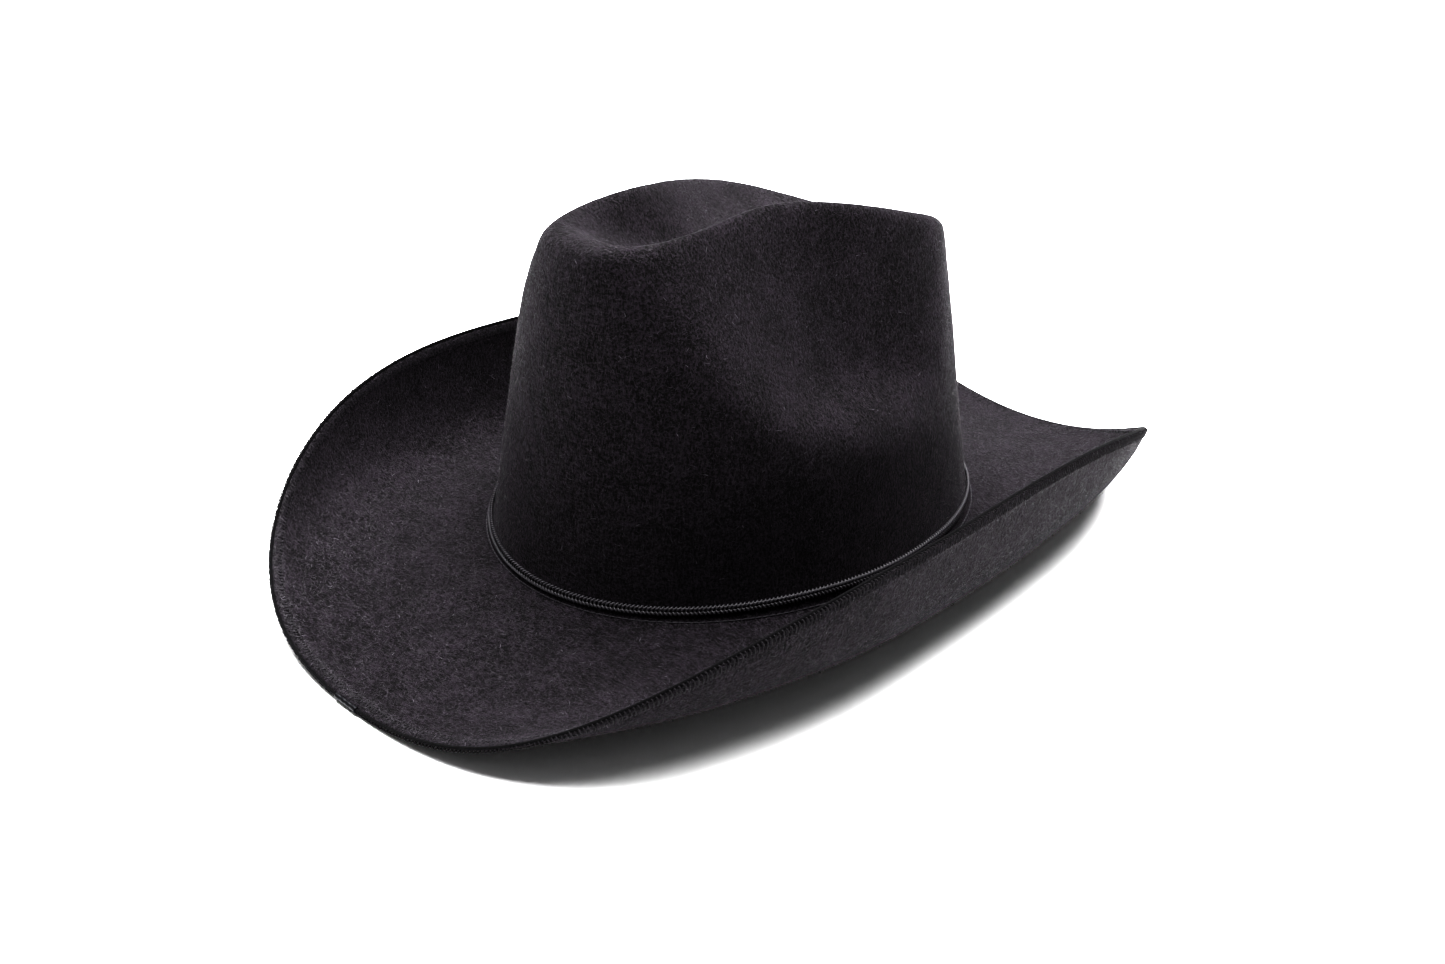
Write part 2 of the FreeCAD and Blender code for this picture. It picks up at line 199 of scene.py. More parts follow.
def hand(point):
    """The slight unevenness that steam and hands leave in blocked felt."""
    return 0.45 * noise.noise(point / 38.0) + 0.16 * noise.noise(point / 13.0)


def felt_grid():
    """Columns of control points in metres: over the top, round the lip and back underneath."""
    tops = [felt_column(TURN * j / COLUMNS) for j in range(COLUMNS)]
    grid = []
    for j, top in enumerate(tops):
        before, after = tops[j - 1], tops[(j + 1) % COLUMNS]
        normals = [Vector((0, 0, 1))]
        for i in range(1, len(top)):
            along = top[min(i + 1, EDGE_ROW)] - top[i - 1]
            normals.append(along.cross(after[i] - before[i]).normalized())
        outer = [p + n * hand(p) for p, n in zip(top, normals)]
        under = [p - n * FELT for p, n in zip(outer, normals)]
        out = (top[-1] - top[-2]).normalized()
        lip = (outer[-1] + under[-1]) * 0.5 + out * (0.35 * FELT + EDGE_FRAY)
        grid.append([p * MM for p in outer + [lip] + under[::-1]])
    return grid


GRID = felt_grid()


def bend_weights(t):
    return ((1 - t) ** 3 / 6, (3 * t ** 3 - 6 * t * t + 4) / 6,
            (-3 * t ** 3 + 3 * t * t + 3 * t + 1) / 6, t ** 3 / 6)


def felt_point(column, place):
    """Point of the smooth felt: whole numbers are opposite the control points."""
    c, r = math.floor(column), math.floor(place)
    across, down = bend_weights(column - c), bend_weights(place - r)
    point = Vector((0, 0, 0))
    for a in range(4):
        line = GRID[(c + a - 1) % COLUMNS]
        for b in range(4):
            point += line[min(max(r + b - 1, 0), LAST_ROW)] * (across[a] * down[b])
    return point


def felt_frame(column, place):
    """Point on the felt, direction down the column, direction round the hat, and normal."""
    point = felt_point(column, place)
    down = (felt_point(column, place + 0.1) - felt_point(column, place - 0.1)).normalized()
    around = (felt_point(column + 0.1, place) - felt_point(column - 0.1, place)).normalized()
    return point, down, around, down.cross(around).normalized()


def place_at_height(column, height):
    """Where the crown's outside is this many millimetres above the break."""
    goal = break_point(TURN * column / COLUMNS).z * MM + height * MM
    low, high = RIM_ROW + 2.0, float(BREAK_ROW)
    for _ in range(24):
        middle = 0.5 * (low + high)
        if felt_point(column, middle).z > goal:
            low = middle
        else:
            high = middle
    return low


def place_from_edge(column, distance):
    """Where the top of the brim is this many millimetres in from the edge."""
    place, gone = float(EDGE_ROW), 0.0
    point = felt_point(column, place)
    while gone < distance * MM:
        place -= 0.05
        step = felt_point(column, place)
        gone += (step - point).length
        point = step
    return place


def even_columns(place_of, pitch):
    """Column numbers spaced evenly, pitch millimetres apart, round a line on the felt."""
    steps = COLUMNS * 5
    points = [felt_point(COLUMNS * k / steps, place_of(COLUMNS * k / steps)) for k in range(steps + 1)]
    run = [0.0]
    for a, b in zip(points, points[1:]):
        run.append(run[-1] + (b - a).length)
    count = round(run[-1] / (pitch * MM))
    columns, k = [], 0
    for n in range(count):
        goal = run[-1] * n / count
        while run[k + 1] < goal:
            k += 1
        columns.append(COLUMNS * (k + (goal - run[k]) / (run[k + 1] - run[k])) / steps)
    return columns


# ---- making objects ------------------------------------------------------------------------------
def show(name, mesh, node=None, smooth=True):
    """A finished piece: in the scene, on its body, and standing for its solid."""
    piece = bpy.data.objects.new(name, mesh)
    bpy.context.scene.collection.objects.link(piece)
    if smooth:
        mesh.polygons.foreach_set("use_smooth", [True] * len(mesh.polygons))
    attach(piece, BODY)
    if node:
        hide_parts(node)
    return piece


def ring_mesh(name, rows, closed=False, caps=False):
    """Rings of points round an axis, grown one from the other; caps closes both ends on a point.
    The points are the same each run, but the order of the faces is not, so nap that is drawn on
    them lands elsewhere."""
    bm = bmesh.new()
    count = len(rows[0])
    bmesh.ops.create_circle(bm, cap_ends=False, segments=count, radius=1.0)
    order = bm.verts.layers.int.new("order")
    bm.verts.ensure_lookup_table()
    for vert in bm.verts:
        vert[order] = vert.index
        vert.co = rows[0][vert.index]
    start = list(bm.edges)
    edges = start
    for row in rows[1:]:
        grown = bmesh.ops.extrude_edge_only(bm, edges=edges)["geom"]
        edges = [e for e in grown if isinstance(e, bmesh.types.BMEdge)]
        for vert in grown:
            if isinstance(vert, bmesh.types.BMVert):
                vert.co = row[vert[order]]
    if closed:
        bmesh.ops.bridge_loops(bm, edges=start + edges)
    if caps:
        for loop in (start, edges):
            grown = bmesh.ops.extrude_edge_only(bm, edges=loop)["geom"]
            tip = [v for v in grown if isinstance(v, bmesh.types.BMVert)]
            middle = sum((v.co for v in tip), Vector()) / len(tip)
            bmesh.ops.pointmerge(bm, verts=tip, merge_co=middle)
    bmesh.ops.recalc_face_normals(bm, faces=bm.faces)
    mesh = bpy.data.meshes.new(name)
    bm.to_mesh(mesh)
    bm.free()
    return mesh


def applied(mesh, kind, **settings):
    """The mesh with one modifier made real."""
    holder = bpy.data.objects.new("holder", mesh)
    bpy.context.scene.collection.objects.link(holder)
    modifier = holder.modifiers.new("modifier", kind)
    for key, value in settings.items():
        setattr(modifier, key, value)
    graph = bpy.context.evaluated_depsgraph_get()
    made = bpy.data.meshes.new_from_object(holder.evaluated_get(graph))
    bpy.data.objects.remove(holder)
    bpy.data.meshes.remove(mesh)
    return made


def thread_rows(path, radius, sides=6):
    """Rings of points round a path, for one short piece of thread."""
    rows, side = [], None
    for k, point in enumerate(path):
        ahead = (path[min(k + 1, len(path) - 1)] - path[max(k - 1, 0)]).normalized()
        if side is None:
            side = ahead.orthogonal().normalized()
        side = (side - ahead * side.dot(ahead)).normalized()
        up = ahead.cross(side)
        rows.append([point + (side * math.cos(a) + up * math.sin(a)) * radius
                     for a in (TURN * n / sides for n in range(sides))])
    return rows


def lay(mesh, frames, shapes=None):
    """Copies one small mesh to each frame: origin and three directions, all in metres. shapes gives
    each copy its own points instead of the mesh's."""
    count, points = len(frames), len(mesh.vertices)
    local = np.empty(3 * points)
    mesh.vertices.foreach_get("co", local)
    name = mesh.name
    made = applied(mesh, "ARRAY", count=count, use_relative_offset=False)
    made.name = name
    grid = np.array([[tuple(v) for v in frame] for frame in frames])
    shapes = np.tile(local.reshape(1, points, 3), (count, 1, 1)) if shapes is None else shapes
    placed = grid[:, None, 0] + np.einsum("kpc,kcd->kpd", shapes, grid[:, 1:])
    made.vertices.foreach_set("co", placed.ravel())
    made.update()
    return made


# ---- materials -----------------------------------------------------------------------------------
def srgb(text):
    """A hex colour as linear light."""
    parts = [int(text[k:k + 2], 16) / 255 for k in (1, 3, 5)]
    return tuple(v / 12.92 if v <= 0.04045 else ((v + 0.055) / 1.055) ** 2.4 for v in parts) + (1.0,)


def scaled(colour, factor):
    """The same hue, darker or lighter."""
    return tuple(factor * v for v in colour[:3]) + (1.0,)


def add(tree, kind, inputs=None, **settings):
    """Adds a node with its settings; an input is a value or another node's output."""
    made = tree.nodes.new(kind)
    for key, value in settings.items():
        setattr(made, key, value)
    for key, value in (inputs or {}).items():
        if isinstance(value, bpy.types.NodeSocket):
            tree.links.new(value, made.inputs[key])
        else:
            made.inputs[key].default_value = value
    return made


def start_material(name, **shader_values):
    material = bpy.data.materials.new(name)
    material.use_nodes = True
    tree = material.node_tree
    shader = tree.nodes["Principled BSDF"]
    for key, value in shader_values.items():
        shader.inputs[key.replace("_", " ")].default_value = value
    return material, tree, shader


def ramp(tree, value, *stops):
    made = add(tree, "ShaderNodeValToRGB", {"Fac": value})
    points = made.color_ramp.elements
    while len(points) < len(stops):
        points.new(0.5)
    for point, (position, colour) in zip(points, stops):
        point.position, point.color = position, colour
    return made.outputs["Color"]


def felt_material(name, dark, light):
    """Needle-punched polyester felt, blocked with steam: matt, with short fibres lying flat in all
    directions, shade painted near black in the gaps between them, and a pale bloom where it is seen
    edge-on."""
    material, tree, shader = start_material(
        name, Roughness=0.92, Sheen_Weight=0.1, Sheen_Roughness=0.3, Sheen_Tint=srgb("#c9c2cc"),
        Specular_IOR_Level=0.18)
    place = add(tree, "ShaderNodeTexCoord").outputs["Object"]
    # locks of fibre about 2 mm long and 0.7 mm apart, crossing each other in two directions
    lay_of = add(tree, "ShaderNodeMapping", {"Vector": place, "Rotation": (0.3, 0.2, 0.5),
                                             "Scale": (1.0, 1.0, 0.35)})
    cross = add(tree, "ShaderNodeMapping", {"Vector": place, "Rotation": (1.1, 0.7, 1.9),
                                            "Scale": (0.35, 1.0, 1.0)})
    fibre = add(tree, "ShaderNodeTexNoise", {"Vector": lay_of.outputs[0], "Scale": 1500.0,
                                             "Detail": 3.0, "Roughness": 0.7, "Distortion": 0.6})
    other = add(tree, "ShaderNodeTexNoise", {"Vector": cross.outputs[0], "Scale": 1250.0,
                                             "Detail": 3.0, "Roughness": 0.7, "Distortion": 0.6})
    both = add(tree, "ShaderNodeMath", {0: fibre.outputs["Fac"], 1: other.outputs["Fac"]},
               operation="MULTIPLY")
    # cloudy patches 12 mm across where the needles packed the fibre more or less
    cloud = add(tree, "ShaderNodeTexNoise", {"Vector": place, "Scale": 80.0, "Detail": 4.0})
    tone = add(tree, "ShaderNodeMath", {0: cloud.outputs["Fac"], 1: 0.16, 2: both.outputs[0]},
               operation="MULTIPLY_ADD")
    # painted shade: near black where the fibre bump is low, the felt colour on the raised fibres; the
    # cloudy patches are the felt's own uneven tone
    shade = ramp(tree, tone.outputs[0], (0.28, dark), (0.42, light))
    tree.links.new(shade, shader.inputs["Base Color"])
    bump = add(tree, "ShaderNodeBump", {"Height": both.outputs[0], "Strength": 1.0,
                                        "Distance": 0.0016})
    soft = add(tree, "ShaderNodeBump", {"Height": cloud.outputs["Fac"], "Strength": 0.5,
                                        "Distance": 0.0015, "Normal": bump.outputs[0]})
    tree.links.new(soft.outputs[0], shader.inputs["Normal"])
    return material


def nap_material(name, colour):
    """Single polyester fibres on the surface: each its own shade, and one in a hundred pale lint."""
    material, tree, shader = start_material(name, Roughness=0.6, Sheen_Weight=0.2,
                                            Sheen_Roughness=0.3, Specular_IOR_Level=0.3)
    own = add(tree, "ShaderNodeAttribute", attribute_name="shade").outputs["Fac"]
    deep = scaled(colour, 0.25)
    shade = ramp(tree, own, (0.0, deep), (0.7, colour), (0.985, scaled(colour, 1.9)),
                 (0.995, srgb("#7d7880")))
    place = add(tree, "ShaderNodeTexCoord").outputs["Object"]
    along = add(tree, "ShaderNodeTexNoise", {"Vector": place, "Scale": 1800.0, "Detail": 1.0})
    mixed = add(tree, "ShaderNodeMix", {"Factor": along.outputs["Fac"], "A": deep, "B": shade},
                data_type="RGBA")
    tree.links.new(mixed.outputs["Result"], shader.inputs["Base Color"])
    return material


def thread_material(name, colour, roughness, twist, shine=0.2):
    """Spun polyester or rayon thread: twisted plies, with a soft shine along each ply."""
    material, tree, shader = start_material(
        name, Roughness=roughness, Sheen_Weight=0.05, Sheen_Roughness=0.4, Specular_IOR_Level=shine)
    place = add(tree, "ShaderNodeTexCoord").outputs["Object"]
    ply = add(tree, "ShaderNodeTexNoise", {"Vector": place, "Scale": twist, "Detail": 2.0})
    shade = ramp(tree, ply.outputs["Fac"], (0.3, scaled(colour, 0.6)), (0.7, colour))
    tree.links.new(shade, shader.inputs["Base Color"])
    bump = add(tree, "ShaderNodeBump", {"Height": ply.outputs["Fac"], "Strength": 0.5,
                                        "Distance": 0.0002})
    tree.links.new(bump.outputs[0], shader.inputs["Normal"])
    return material


def ribbed_material(name, colour, pitch_mm):
    """Grosgrain, woven polyester with a thick weft: upright ribs with a faint shine between, and shade
    painted darker in the grooves.
    """
    material, tree, shader = start_material(name, Roughness=0.62, Sheen_Weight=0.3,
                                            Sheen_Roughness=0.35)
    flow = add(tree, "ShaderNodeUVMap", uv_map="weave")
    ribs = add(tree, "ShaderNodeTexWave", {"Vector": flow.outputs[0],
                                           "Scale": TURN / (20.0 * pitch_mm * MM)},
               bands_direction="X")
    fuzz = add(tree, "ShaderNodeTexNoise", {"Vector": add(tree, "ShaderNodeTexCoord").outputs["Object"],
                                            "Scale": 2200.0, "Detail": 2.0})
    mixed = add(tree, "ShaderNodeMath", {0: fuzz.outputs["Fac"], 1: 0.35, 2: ribs.outputs["Fac"]},
                operation="MULTIPLY_ADD")
    # painted shade: the grooves between the ribs, where the bump is low, go down to 0.45 of the colour;
    # the fuzz adds random tone
    shade = ramp(tree, mixed.outputs[0], (0.2, scaled(colour, 0.45)), (1.1, colour))
    tree.links.new(shade, shader.inputs["Base Color"])
    bump = add(tree, "ShaderNodeBump", {"Height": mixed.outputs[0], "Strength": 0.8,
                                        "Distance": 0.0003})
    tree.links.new(bump.outputs[0], shader.inputs["Normal"])
    return material


def wrapped_wire(name, colour):
    """Millinery wire: cotton yarn wound tightly round the steel, a dull ridge every 0.4 mm."""
    material, tree, shader = start_material(name, Roughness=0.85, Sheen_Weight=0.03,
                                            Sheen_Roughness=0.4, Specular_IOR_Level=0.1)
    place = add(tree, "ShaderNodeTexCoord").outputs["Object"]
    yarn = add(tree, "ShaderNodeTexNoise", {"Vector": place, "Scale": 2500.0, "Detail": 2.0,
                                            "Distortion": 1.0})
    shade = ramp(tree, yarn.outputs["Fac"], (0.3, scaled(colour, 0.4)), (0.7, colour))
    tree.links.new(shade, shader.inputs["Base Color"])
    bump = add(tree, "ShaderNodeBump", {"Height": yarn.outputs["Fac"], "Strength": 0.8,
                                        "Distance": 0.0004})
    tree.links.new(bump.outputs[0], shader.inputs["Normal"])
    return material


def drawn_metal(name, colour, roughness):
    """Drawn metal: fine lengthways scratches blur its reflections one way."""
    material, tree, shader = start_material(name, Metallic=1.0, Roughness=roughness)
    place = add(tree, "ShaderNodeTexCoord").outputs["Object"]
    lines = add(tree, "ShaderNodeTexNoise", {"Vector": place, "Scale": 3500.0, "Detail": 2.0})
    shade = ramp(tree, lines.outputs["Fac"], (0.3, scaled(colour, 0.7)), (0.7, colour))
    tree.links.new(shade, shader.inputs["Base Color"])
    rough = add(tree, "ShaderNodeMapRange", {"Value": lines.outputs["Fac"], "To Min": roughness - 0.1,
                                             "To Max": roughness + 0.12})
    tree.links.new(rough.outputs[0], shader.inputs["Roughness"])
    return material


# ---- what a user may change ----------------------------------------------------------------------
class HatSizes(PropertyGroup):
    stitch_pitch: FloatProperty(name="Stitch pitch", description="Length of one sweatband stitch",
                                default=2.5 * MM, min=0.001, unit="LENGTH")
    edge_pitch: FloatProperty(name="Overlock pitch", description="From one edge stitch to the next",
                              default=1.5 * MM, min=0.001, unit="LENGTH")
    braid_pitch: FloatProperty(name="Braid pitch", description="From one strand to the next",
                               default=1.5 * MM, min=0.0005, unit="LENGTH")
    nap_length: FloatProperty(name="Nap length", description="Longest loose fibre on the felt",
                              default=2.6 * MM, min=0.0005, unit="LENGTH")
    nap_count: IntProperty(name="Nap fibres", description="Loose fibres on each side of the felt",
                           default=40000, min=1)


class HatColours(PropertyGroup):
    felt: FloatVectorProperty(name="Felt", description="Colour of the felt's raised fibres",
                              subtype="COLOR", size=4, default=srgb("#262127"))
    # painted shade: the near-black colour given to the gaps between the fibres
    felt_gap_shade: FloatVectorProperty(name="Felt, deep", description="Colour between the fibres",
                                   subtype="COLOR", size=4, default=srgb("#040304"))
    nap: FloatVectorProperty(name="Nap", description="Colour of the loose fibres", subtype="COLOR",
                             size=4, default=srgb("#332e35"))
    thread: FloatVectorProperty(name="Thread", description="Colour of the sewing thread",
                                subtype="COLOR", size=4, default=srgb("#1f1d20"))
    braid: FloatVectorProperty(name="Braid", description="Colour of the band round the crown",
                               subtype="COLOR", size=4, default=srgb("#3b393d"))
    sweatband: FloatVectorProperty(name="Sweatband", description="Colour of the inner band",
                                   subtype="COLOR", size=4, default=srgb("#1c1b1e"))
    label: FloatVectorProperty(name="Label", description="Colour of the blank label",
                               subtype="COLOR", size=4, default=srgb("#dcd8cf"))


# ---- pieces --------------------------------------------------------------------------------------
class HAT_OT_felt(Operator):
    """Blocked felt: crown and brim in one"""
    bl_idname = "hat.felt"
    bl_label = "Felt body"

    def execute(self, context):
        colours = context.scene.hat_colours
        rows = [[GRID[j][i] for j in range(COLUMNS)] for i in range(1, LAST_ROW)]
        mesh = applied(ring_mesh("felt_shell", rows, caps=True), "SUBSURF", levels=2, render_levels=2)
        mesh.name = "felt_shell"
        normals = [0.0] * (3 * len(mesh.vertices))
        mesh.vertex_normals.foreach_get("vector", normals)
        for k, vert in enumerate(mesh.vertices):
            lift = 0.07 * noise.noise(vert.co / 0.0032) + 0.09 * noise.noise(vert.co / 0.0075)
            vert.co += Vector(normals[3 * k:3 * k + 3]) * (lift * MM)
        piece = show("felt_shell", mesh, "felt_body")
        # the felt's colour has shade painted into the gaps between its fibres
        mesh.materials.append(felt_material("needle_felt_black", colours.felt_gap_shade, colours.felt))
        self.nap(context, piece)
        return {"FINISHED"}

    @staticmethod
    def nap(context, piece):
        """Loose fibres on the felt, most lying flat and a few standing up, in four pieces."""
        sizes, colours = context.scene.hat_sizes, context.scene.hat_colours
        faces = piece.data.polygons
        middles, normals = np.empty(3 * len(faces)), np.empty(3 * len(faces))
        areas, corners = np.empty(len(faces)), np.empty(4 * len(faces), dtype=int)
        points = np.empty(3 * len(piece.data.vertices))
        faces.foreach_get("center", middles)
        faces.foreach_get("normal", normals)
        faces.foreach_get("area", areas)
        faces.foreach_get("vertices", corners)
        piece.data.vertices.foreach_get("co", points)
        middles, normals = middles.reshape(-1, 3), normals.reshape(-1, 3)
        corners = points.reshape(-1, 3)[corners.reshape(-1, 4)]
        # the crown's inside looks at the hat's middle, and gets no nap
        towards = middles - np.array((0, CROWN_SHIFT * MM, 0))
        towards[:, 2] = 0.0
        inner = (np.einsum("ij,ij->i", towards, normals) < 0) & (np.abs(normals[:, 2]) < 0.6)
        on_crown = np.abs(np.hypot(middles[:, 0] / (0.5 * BASE_WIDTH * MM),
                                (middles[:, 1] - CROWN_SHIFT * MM) / (0.5 * BASE_LENGTH * MM))) < 1.06
        under = normals[:, 2] < -0.15
        crown = on_crown & ~under & ~inner
        brim = ~on_crown & (normals[:, 2] > 0.0)
        below = ~on_crown & (normals[:, 2] <= 0.0)
        # the brim's edge: within a few millimetres of the edge's line at the same bearing
        line = np.array([felt_frame(0.25 * k, EDGE_ROW)[0] for k in range(4 * COLUMNS)])
        bearing = np.arctan2(line[:, 0], -line[:, 1])
        here = np.arctan2(middles[:, 0], -middles[:, 1])
        nearest = np.stack([np.interp(here, bearing, line[:, k], period=TURN)
                            for k in range(3)], axis=1)
        edge = np.linalg.norm(middles - nearest, axis=1) < 3.0 * MM
        material = nap_material("loose_fibre", colours.nap)
        for seed, (name, chosen, count, standing) in enumerate((
                ("nap_crown", crown, sizes.nap_count, 0.12),
                ("nap_brim", brim, sizes.nap_count, 0.12),
                ("nap_under", below, sizes.nap_count, 0.12),
                ("nap_edge", edge, sizes.nap_count // 2, 0.5))):
            pick = np.random.default_rng(20 + seed)
            share = np.where(chosen, areas, 0.0)
            face = pick.choice(len(faces), count, p=share / share.sum())
            normal = normals[face]
            spread = pick.normal(size=(count, 3))
            along = np.cross(normal, spread)
            along /= np.linalg.norm(along, axis=1)[:, None]
            side = np.cross(normal, along)
            u, v = pick.random((2, count, 1))
            a, b, c, d = (corners[face, k] for k in range(4))
            origin = (a * (1 - u) + b * u) * (1 - v) + (d * (1 - u) + c * u) * v
            long = sizes.nap_length * (0.35 + 0.65 * pick.beta(1.6, 2.6, count))
            bend = pick.normal(0.0, 0.22, count)
            lift = np.where(pick.random(count) < standing, pick.uniform(0.3, 0.9, count),
                            pick.uniform(0.05, 0.22, count)) * MM
            wide = pick.uniform(0.06, 0.13, count) * MM
            station = np.array((0.0, 0.0, 0.5, 0.5, 1.0, 1.0))
            sideways = np.array((-0.5, 0.5, -0.5, 0.5, -0.3, 0.3))
            shapes = np.empty((count, 6, 3))
            shapes[:, :, 0] = long[:, None] * (station - 0.5)
            shapes[:, :, 1] = wide[:, None] * sideways + (bend * long)[:, None] * (station - 0.5) ** 2
            shapes[:, :, 2] = 0.02 * MM + lift[:, None] * (0.25 + station ** 2 * 0.9)
            bm = bmesh.new()
            bmesh.ops.create_grid(bm, x_segments=2, y_segments=1, size=0.5)
            blade = bpy.data.meshes.new(name)
            bm.verts.sort(key=lambda v: 10.0 * v.co.x + v.co.y)
            bm.to_mesh(blade)
            bm.free()
            frames = np.stack((origin, along, side, normal), axis=1)
            mesh = lay(blade, frames, shapes)
            shade = mesh.attributes.new("shade", "FLOAT", "FACE")
            shade.data.foreach_set("value", np.repeat(pick.random(count), 2))
            show(name, mesh)
            mesh.materials.append(material)


class HAT_OT_edge(Operator):
    """Overlock stitches round the brim's edge and its wire, the covered wire and its crimped tube"""
    bl_idname = "hat.edge"
    bl_label = "Brim edge"

    def execute(self, context):
        sizes, colours = context.scene.hat_sizes, context.scene.hat_colours
        thread = thread_material("spun_polyester_thread", colours.thread, 0.75, 3000.0)
        columns = even_columns(lambda column: EDGE_ROW, sizes.edge_pitch / MM)
        frames = []
        for k, column in enumerate(columns):
            point, down, around, normal = felt_frame(column, EDGE_ROW)
            tilt = 1.0 + 0.12 * noise.noise(Vector((k * 0.9, 0, 0)))
            frames.append((point - normal * (0.5 * FELT * MM), down * tilt, normal, around))
        # one stitch across the edge: out from the felt, up from its middle, and along the edge
        over = ((-EDGE_SEAM_INSET, 1.0, 0.2), (-1.35, 1.36, 0.16), (-0.3, 1.3, 0.0), (0.8, 1.1, -0.1),
                (1.9, 0.86, -0.14), (2.55, 0.62, -0.1), (2.86, 0.0, 0.0), (2.55, -0.62, 0.1),
                (1.9, -0.86, 0.14), (0.8, -1.1, 0.1), (-0.3, -1.3, 0.0), (-1.3, -1.05, -0.1))
        path = [Vector((out, up, shift * 3.0)) * MM for out, up, shift in over]
        stitch = ring_mesh("edge_overlock", thread_rows(path, 0.21 * MM), caps=True)
        mesh = lay(stitch, frames)
        show("edge_overlock", mesh, "brim_edge_thread")
        mesh.materials.append(thread)
        # the needle thread: short stitches on top that pin each crossing
        frames = []
        for k, column in enumerate(columns):
            place = place_from_edge(column, EDGE_SEAM_INSET)
            point, down, around, normal = felt_frame(column, place)
            frames.append((point, around, down, normal))
        run = 0.5 * sizes.edge_pitch / MM
        path = [Vector((run * a, 0.0, up)) * MM
                for a, up in ((-0.8, -0.2), (-0.55, 0.05), (0.0, 0.16), (0.55, 0.05), (0.8, -0.2))]
        mesh = lay(ring_mesh("edge_needle_thread", thread_rows(path, 0.17 * MM), caps=True), frames)
        show("edge_needle_thread", mesh)
        mesh.materials.append(thread)
        # the wire is sold wrapped in black cotton, which hides the steel
        wire = frame["nodes"]["brim_wire"]
        cover = wrapped_wire("cotton_wrapped_wire", srgb("#0e0d0f"))
        for slot in wire.material_slots:
            slot.material = cover
        self.ferrule()
        return {"FINISHED"}

    @staticmethod
    def ferrule():
        low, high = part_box("wire_ferrule")
        middle = (low + high) / 2
        bore, wall = TUBE_BORE * MM, TUBE_WALL * MM
        rings = []
        for face in (0, 1):
            stations = [k / 24 for k in range(25)]
            for share in (stations if face == 0 else stations[::-1]):
                squeeze = sum(math.exp(-((share - at) / 0.05) ** 2) for at in (0.25, 0.5, 0.75))
                radius = (bore + wall - TUBE_CRIMP * MM * squeeze) if face == 0 else bore
                x = low.x + (high.x - low.x) * share
                rings.append([Vector((x, middle.y + radius * math.cos(a),
                                      middle.z + radius * math.sin(a)))
                              for a in (TURN * n / 20 for n in range(20))])
        mesh = ring_mesh("wire_tube", rings, closed=True)
        show("wire_tube", mesh, "wire_ferrule")
        mesh.materials.append(drawn_metal("black_crimped_tube", srgb("#2a2a2c"), 0.45))


class HAT_OT_band(Operator):
    """Soutache round the crown: strands plaited over two cores, so that it has two ribs"""
    bl_idname = "hat.band"
    bl_label = "Crown band"

    def execute(self, context):
        sizes, colours = context.scene.hat_sizes, context.scene.hat_colours
        columns = even_columns(self.line, sizes.braid_pitch / MM)
        rib, reach, height = 0.32, 0.25 * BRAID_WIDTH, 0.85
        strand = thread_material("rayon_soutache", colours.braid, 0.45, 2500.0, shine=0.45)
        frames = [felt_frame(column, self.line(column)) for column in columns]
        for side, name in ((-1, "band_upper"), (1, "band_lower")):
            rows = [[p + d * ((side * reach + rib * math.cos(a)) * MM)
                     + n * ((height + rib * math.sin(a)) * MM) for p, d, _, n in frames]
                    for a in (TURN * k / 8 for k in range(8))]
            mesh = ring_mesh(name + "_core", rows, closed=True)
            show(name + "_core", mesh, "hat_band" if side < 0 else None)
            mesh.materials.append(strand)
            # each strand climbs out of the groove, over the core and down to the felt, slanting
            path = []
            for turn in (-0.62, -0.42, -0.18, 0.1, 0.38, 0.6):
                bow = turn * math.pi
                path.append(Vector((turn * 1.35, side * (reach + math.sin(bow) * (rib + 0.32)),
                                    height + math.cos(bow) * (rib + 0.36))) * MM)
            local = ring_mesh(name + "_strands", thread_rows(path, 0.32 * MM), caps=True)
            mesh = lay(local, [(p, a, d, n) for p, d, a, n in frames])
            show(name + "_strands", mesh)
            mesh.materials.append(strand)
        return {"FINISHED"}

    @staticmethod
    def line(column):
        back = 0.5 - 0.5 * math.cos(TURN * column / COLUMNS)
        rise = BRAID_RISE_FRONT + (BRAID_RISE_BACK - BRAID_RISE_FRONT) * back ** 4
        return place_at_height(column, rise)


def wall_frame(column):
    """Foot of the crown's wall, the way up it, the way round and its outward normal."""
    angle, step = TURN * column / COLUMNS, 0.01
    foot = break_point(angle)
    up = (rim_point(angle) - foot).normalized()
    around = (break_point(angle + step) - break_point(angle - step)).normalized()
    return foot * MM, up, around, around.cross(up).normalized()


def inside(column, height, depth):
    """A point inside the crown: millimetres up the wall and in from its outer face."""
    foot, up, _, normal = wall_frame(column)
    return foot + up * (height * MM) - normal * (depth * MM)


